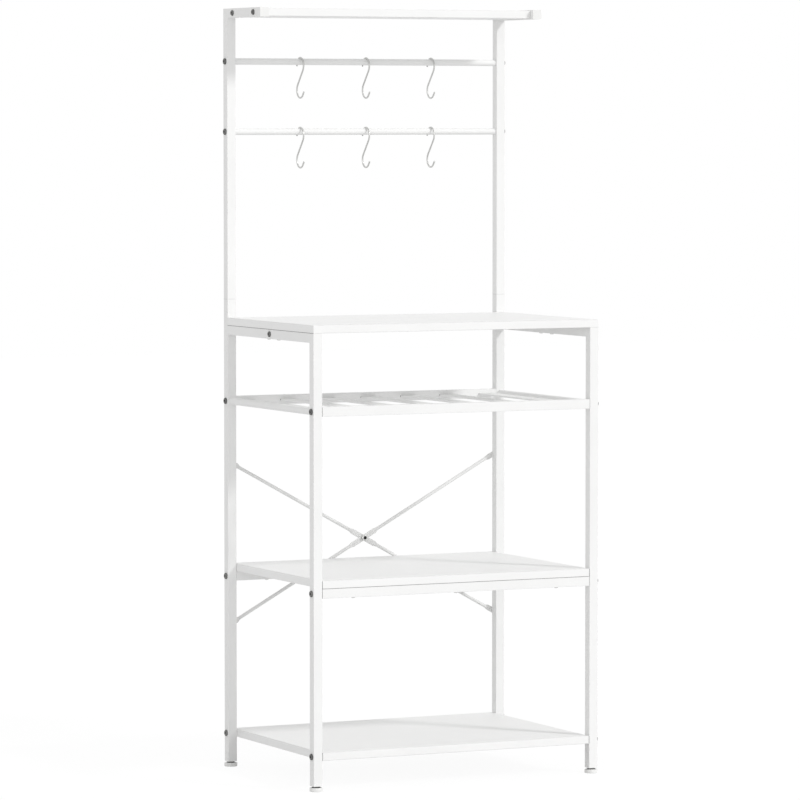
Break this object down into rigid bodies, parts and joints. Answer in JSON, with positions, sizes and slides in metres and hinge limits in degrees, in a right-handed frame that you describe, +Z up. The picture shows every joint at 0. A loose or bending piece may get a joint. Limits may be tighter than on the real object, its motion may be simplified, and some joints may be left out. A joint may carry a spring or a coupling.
{
  "type": "shelf unit",
  "caption": "Free-standing shelf unit of square tube and boards, with a slatted rack under its tabletop, a cross brace, and an upper frame with hanging rails, S-hooks and a top shelf.",
  "frame": {"origin": "on the floor under the middle of the box around the whole unit", "axes": "+X to the unit's right as seen from its front, +Y to its back, +Z up"},
  "size_m": [0.607, 0.421, 1.463],
  "materials": {
    "white_frame": "white powder coat, satin",
    "white_board": "white melamine on particle board, satin",
    "white_plastic": "moulded, fine grain",
    "dark_bolt": "grey zinc plate, turned",
    "bright_steel": "bright zinc plate",
    "inner_steel": "zinc plate",
    "chrome_wire": "polished"
  },
  "bodies": {
    "frame": {"arm_cap_left": "white_plastic", "arm_cap_right": "white_plastic", "barrel_nuts": "inner_steel", "board_bolts": "dark_bolt", "bottom_board": "white_board", "brace_bar_falling": "white_frame", "brace_bar_rising": "white_frame", "brace_centre_bolt": "bright_steel", "brace_centre_nut": "bright_steel", "brace_end_bolts": "dark_bolt", "cleat_bolts": "dark_bolt", "cleat_screws": "bright_steel", "front_post_left": "white_frame", "front_post_right": "white_frame", "hanging_rail_bolts": "dark_bolt", "hanging_rail_lower": "white_frame", "hanging_rail_upper": "white_frame", "middle_board": "white_board", "middle_board_screws": "bright_steel", "middle_front_rail": "white_frame", "middle_rear_rail": "white_frame", "post_foot_plugs": "white_plastic", "rack_front_rail": "white_frame", "rack_rear_rail": "white_frame", "rack_side_tube_left": "white_frame", "rack_side_tube_right": "white_frame", "rack_slat_1": "white_frame", "rack_slat_2": "white_frame", "rack_slat_3": "white_frame", "rack_slat_4": "white_frame", "rack_slat_5": "white_frame", "rack_slat_6": "white_frame", "rack_slat_7": "white_frame", "rail_bolts": "dark_bolt", "rear_post_left": "white_frame", "rear_post_right": "white_frame", "round_tube_inserts": "inner_steel", "splice_sleeve_left": "inner_steel", "splice_sleeve_right": "inner_steel", "square_tube_inserts": "inner_steel", "tabletop_board": "white_board", "tabletop_cleat_left": "inner_steel", "tabletop_cleat_right": "inner_steel", "top_arm_left": "white_frame", "top_arm_right": "white_frame", "top_shelf_board": "white_board", "top_side_rail_left": "white_frame", "top_side_rail_right": "white_frame", "upper_post_left": "white_frame", "upper_post_right": "white_frame"},
    "foot_front_left": {"foot_front_left": "white_plastic"},
    "foot_front_right": {"foot_front_right": "white_plastic"},
    "foot_rear_left": {"foot_rear_left": "white_plastic"},
    "foot_rear_right": {"foot_rear_right": "white_plastic"},
    "hook_upper_left": {"hook_upper_left": "chrome_wire"},
    "hook_upper_middle": {"hook_upper_middle": "chrome_wire"},
    "hook_upper_right": {"hook_upper_right": "chrome_wire"},
    "hook_lower_left": {"hook_lower_left": "chrome_wire"},
    "hook_lower_middle": {"hook_lower_middle": "chrome_wire"},
    "hook_lower_right": {"hook_lower_right": "chrome_wire"}
  },
  "joints": [
    {"name": "foot_front_left_level", "type": "slide", "parent": "frame", "child": "foot_front_left", "axis": [0, 0, 1], "range_m": [-0.01, 0.0017]},
    {"name": "foot_front_right_level", "type": "slide", "parent": "frame", "child": "foot_front_right", "axis": [0, 0, 1], "range_m": [-0.01, 0.0017]},
    {"name": "foot_rear_left_level", "type": "slide", "parent": "frame", "child": "foot_rear_left", "axis": [0, 0, 1], "range_m": [-0.01, 0.0017]},
    {"name": "foot_rear_right_level", "type": "slide", "parent": "frame", "child": "foot_rear_right", "axis": [0, 0, 1], "range_m": [-0.01, 0.0017]},
    {"name": "hook_upper_left_swing", "type": "hinge", "parent": "frame", "child": "hook_upper_left", "pos_m": [-0.141, 0.19198, 1.362], "axis": [1, 0, 0], "range_deg": [-60, 60]},
    {"name": "hook_upper_middle_swing", "type": "hinge", "parent": "frame", "child": "hook_upper_middle", "pos_m": [0, 0.19198, 1.362], "axis": [1, 0, 0], "range_deg": [-60, 60]},
    {"name": "hook_upper_right_swing", "type": "hinge", "parent": "frame", "child": "hook_upper_right", "pos_m": [0.141, 0.19198, 1.362], "axis": [1, 0, 0], "range_deg": [-60, 60]},
    {"name": "hook_lower_left_swing", "type": "hinge", "parent": "frame", "child": "hook_lower_left", "pos_m": [-0.141, 0.19198, 1.227], "axis": [1, 0, 0], "range_deg": [-60, 60]},
    {"name": "hook_lower_middle_swing", "type": "hinge", "parent": "frame", "child": "hook_lower_middle", "pos_m": [0, 0.19198, 1.227], "axis": [1, 0, 0], "range_deg": [-60, 60]},
    {"name": "hook_lower_right_swing", "type": "hinge", "parent": "frame", "child": "hook_lower_right", "pos_m": [0.141, 0.19198, 1.227], "axis": [1, 0, 0], "range_deg": [-60, 60]}
  ]
}
